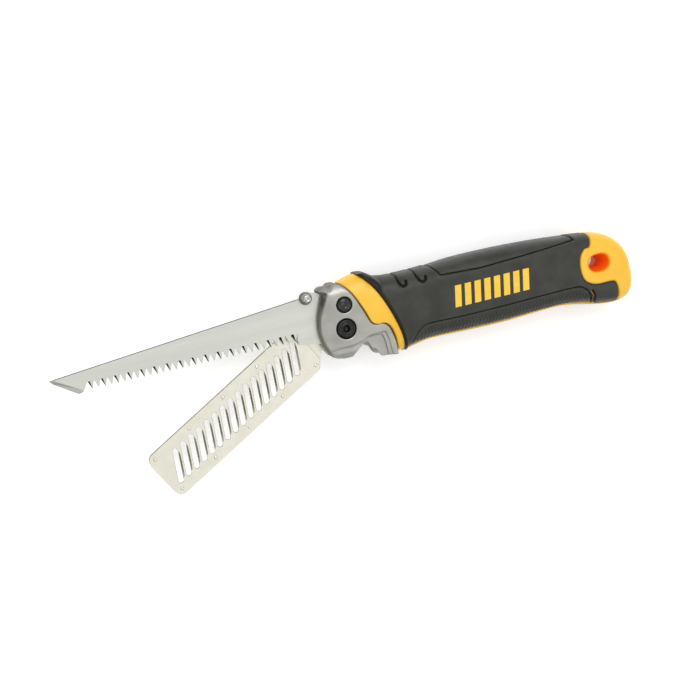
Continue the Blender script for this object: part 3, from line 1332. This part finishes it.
def makeButton(look):
    r, base, top, dome = look["radius"], look["base"], look["top"], look["dome"]
    rings = [(look["bore"], look["ceiling"]), (look["bore"], base), (r, base), (r, top - dome - 0.1)]
    for i in range(1, 10):
        angle = math.radians(62 * i / 9)
        rings.append(((r - 0.15) * math.cos(angle)**0.8, top - dome + dome * math.sin(angle)))
    rings += [(1.5, top - 0.25), (1.1, top - 0.42), (0.6, top - 0.5)]  # a shallow dish for the thumb
    button = solid("lockButton", *turnedMesh(rings, buttonPlace))
    finishPiece(button, "lock", polishedAcetal, ["lock_button"])


makeButton(buttonLook)

# the spring under the button, as it stands when the button is down
springLook = {"radius": 2.5, "wire": 0.2, "turns": 3, "low": 5.6, "high": 7.1}


def makeSpring(look):
    coil = runTree(coiledWire, {
        "Radius": look["radius"] * mm, "Wire": look["wire"] * mm, "Turns": float(look["turns"]),
        "Height": (look["high"] - look["low"]) * mm,
        "Place": inFrame([*buttonPlace, look["low"]]).tolist(), "Finish": wireSteel})
    finishPiece(joined([coil], "lockSpring", True), "handle", wireSteel,
                ["lock_spring"])


makeSpring(springLook)

# the four screws that hold the handle's halves together, sunk in the far side
capLook = {"radius": 2.7, "seat": -9.2, "tall": 1.8, "hex": 1.15, "shank": 1.2, "shankEnd": 8}


def makeCaps(look):
    r, seat, socket, face = look["radius"], look["seat"], look["hex"], look["seat"] - look["tall"]
    rings = [(look["shank"], look["shankEnd"]), (look["shank"], seat), (r, seat), (r, face + 0.4),
             (r - 0.4, face), (socket + 0.2, face), (socket, face + 0.2, 6), (socket, seat - 0.6, 6)]
    for i, place in enumerate(screwPlaces, 1):
        points, faces = turnedMesh(rings, place, 48)
        screw = solid(f"handleScrew{i}", points, [face[::-1] for face in faces])
        finishPiece(screw, "handle", blackOxide, [f"handle_screw_{i}"])


makeCaps(capLook)
print("screws made")

clearOf = 30 * mm  # rays that find the handle's surface start this far from its middle plane


def flatPlace(x, y):
    # a place in a row that is laid out flat before it is draped
    px, py, _ = inFrame([x, y, 0]).tolist()
    return px, py, 0.0


# ribs moulded on the finger side: three rows of scales
ribLook = {"pitch": 1.8, "length": 2.6, "width": 1.2, "height": 0.5, "foot": -0.12, "under": -0.3,
           "lean": 14, "lowest": -14.15,
           "rows": [(38.2, 123.6, -9.1), (36.0, 125.6, -11.4), (34.4, 126.2, -13.6)]}


def scaleShape(look):
    # one scale: a low leaning ridge that is higher at its handle end
    lean = math.tan(math.radians(look["lean"]))

    def topAt(u, v):
        y = v * look["length"] / 2
        x = u * look["width"] / 2 * (1 - 0.3 * abs(v)**3) + y * lean
        lift = (1 - abs(u)**2.5) * (1 - abs(v)**5) * (0.85 + 0.15 * u)
        return x, y, look["foot"] + (look["height"] - look["foot"]) * lift

    return slab(5, 7, topAt, look["under"])


def makeRibs(look, side, name):
    part = helper("scale", *scaleShape(look), True)
    rows = []
    for i, (start, end, y) in enumerate(look["rows"]):
        start += 0.5 * look["pitch"] * (i % 2)
        count = int((end - start) / look["pitch"]) + 1
        rows.append(runTree(drapedRow, {
            "Part": part, "Surface": ribBases[side], "Count": count, "First": flatPlace(start, y),
            "Step": (look["pitch"] * mm, 0, 0), "From": float(pivot[2] + side * clearOf),
            "Lowest": flatPlace(0, look["lowest"])[1], "Finish": rubber}))
    bpy.data.objects.remove(part)
    finishPiece(joined(rows, name, True), "handle", rubber)


makeRibs(ribLook, 1, "gripScalesNear")
makeRibs(ribLook, -1, "gripScalesFar")

# pad print on the near side: a plain run of leaning bars
printLook = {"bars": 8, "pitch": 5.15, "width": 3.3, "height": 10.6, "lean": 9, "first": (57.4, 3.3),
             "thick": 0.06, "under": -0.2}


def makePrint(look):
    lean = math.tan(math.radians(look["lean"]))

    def topAt(u, v):
        y = v * look["height"] / 2
        return u * look["width"] / 2 + y * lean, y, look["thick"]

    part = helper("bar", *slab(4, 9, topAt, look["under"]))
    bars = runTree(drapedRow, {
        "Part": part, "Surface": bpy.data.objects["rubberGripNear"], "Count": look["bars"],
        "First": flatPlace(*look["first"]), "Step": (look["pitch"] * mm, 0, 0),
        "From": float(pivot[2] + clearOf), "Lowest": -1.0, "Finish": yellowInk})
    bpy.data.objects.remove(part)
    finishPiece(joined([bars], "printedBars"), "handle", yellowInk, ["print_inlay"])


makePrint(printLook)
print("ribs and print made")

# parts that keep the frame's own shapes take their finishes here
for part in frame["record"]["subparts"]:
    node = frame["nodes"][part.get("node") or part["name"]]
    node.data.materials.clear()
    node.data.materials.append(slotMaterials[part["material_slot"]])

floorHalf = 2
corners = [(x * floorHalf, y * floorHalf, 0) for x, y in ((-1, -1), (1, -1), (1, 1), (-1, 1))]
floor = pieceFrom("floor", meshOf("floor", corners, [(0, 1, 2, 3)], False))
floor.data.materials.append(paper)
